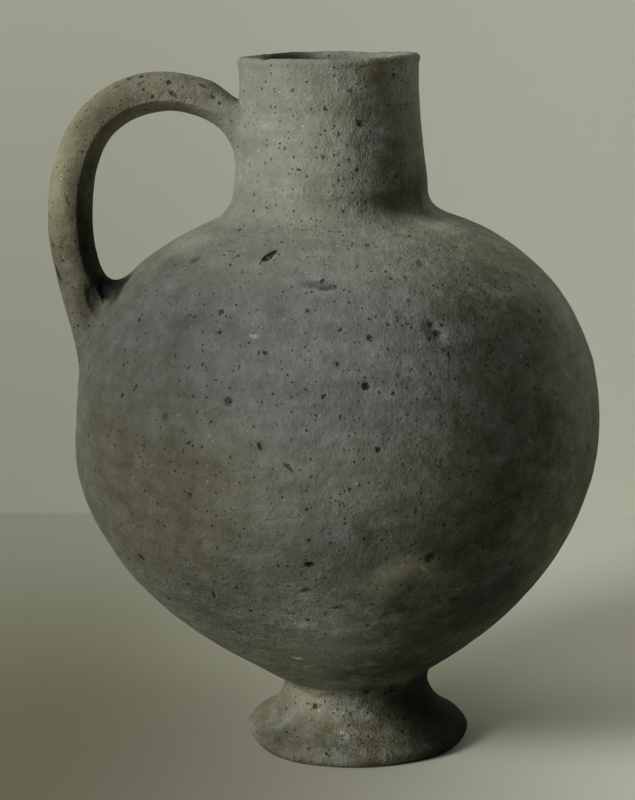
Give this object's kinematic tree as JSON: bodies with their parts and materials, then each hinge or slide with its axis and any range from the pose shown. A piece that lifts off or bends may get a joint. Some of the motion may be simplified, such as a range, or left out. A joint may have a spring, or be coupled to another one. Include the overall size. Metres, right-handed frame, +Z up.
{
  "type": "earthenware jug",
  "caption": "Round-bellied unglazed earthenware jug with a straight neck, a loop handle from neck to shoulder and a low flared foot, for carrying and pouring water.",
  "frame": {"origin": "on the surface that the jug stands on, under the middle of its whole outline", "axes": "+Z up through the neck, handle towards -X, +Y across the handle's loop"},
  "size_m": [0.2044, 0.196, 0.2585],
  "materials": {
    "foot_clay": "fired unglazed clay, sandy and pitted",
    "body_clay": "fired unglazed clay, smoothed, fire-clouded and pitted",
    "neck_clay": "fired unglazed clay, pale and sandy",
    "handle_clay": "fired unglazed clay, smoothed by hand"
  },
  "bodies": {
    "root": {"foot": "foot_clay", "foot_luting_coil": "foot_clay", "lower_body": "body_clay", "shoulder": "body_clay", "neck_luting_coil": "neck_clay", "neck": "neck_clay", "handle": "handle_clay"}
  },
  "joints": []
}
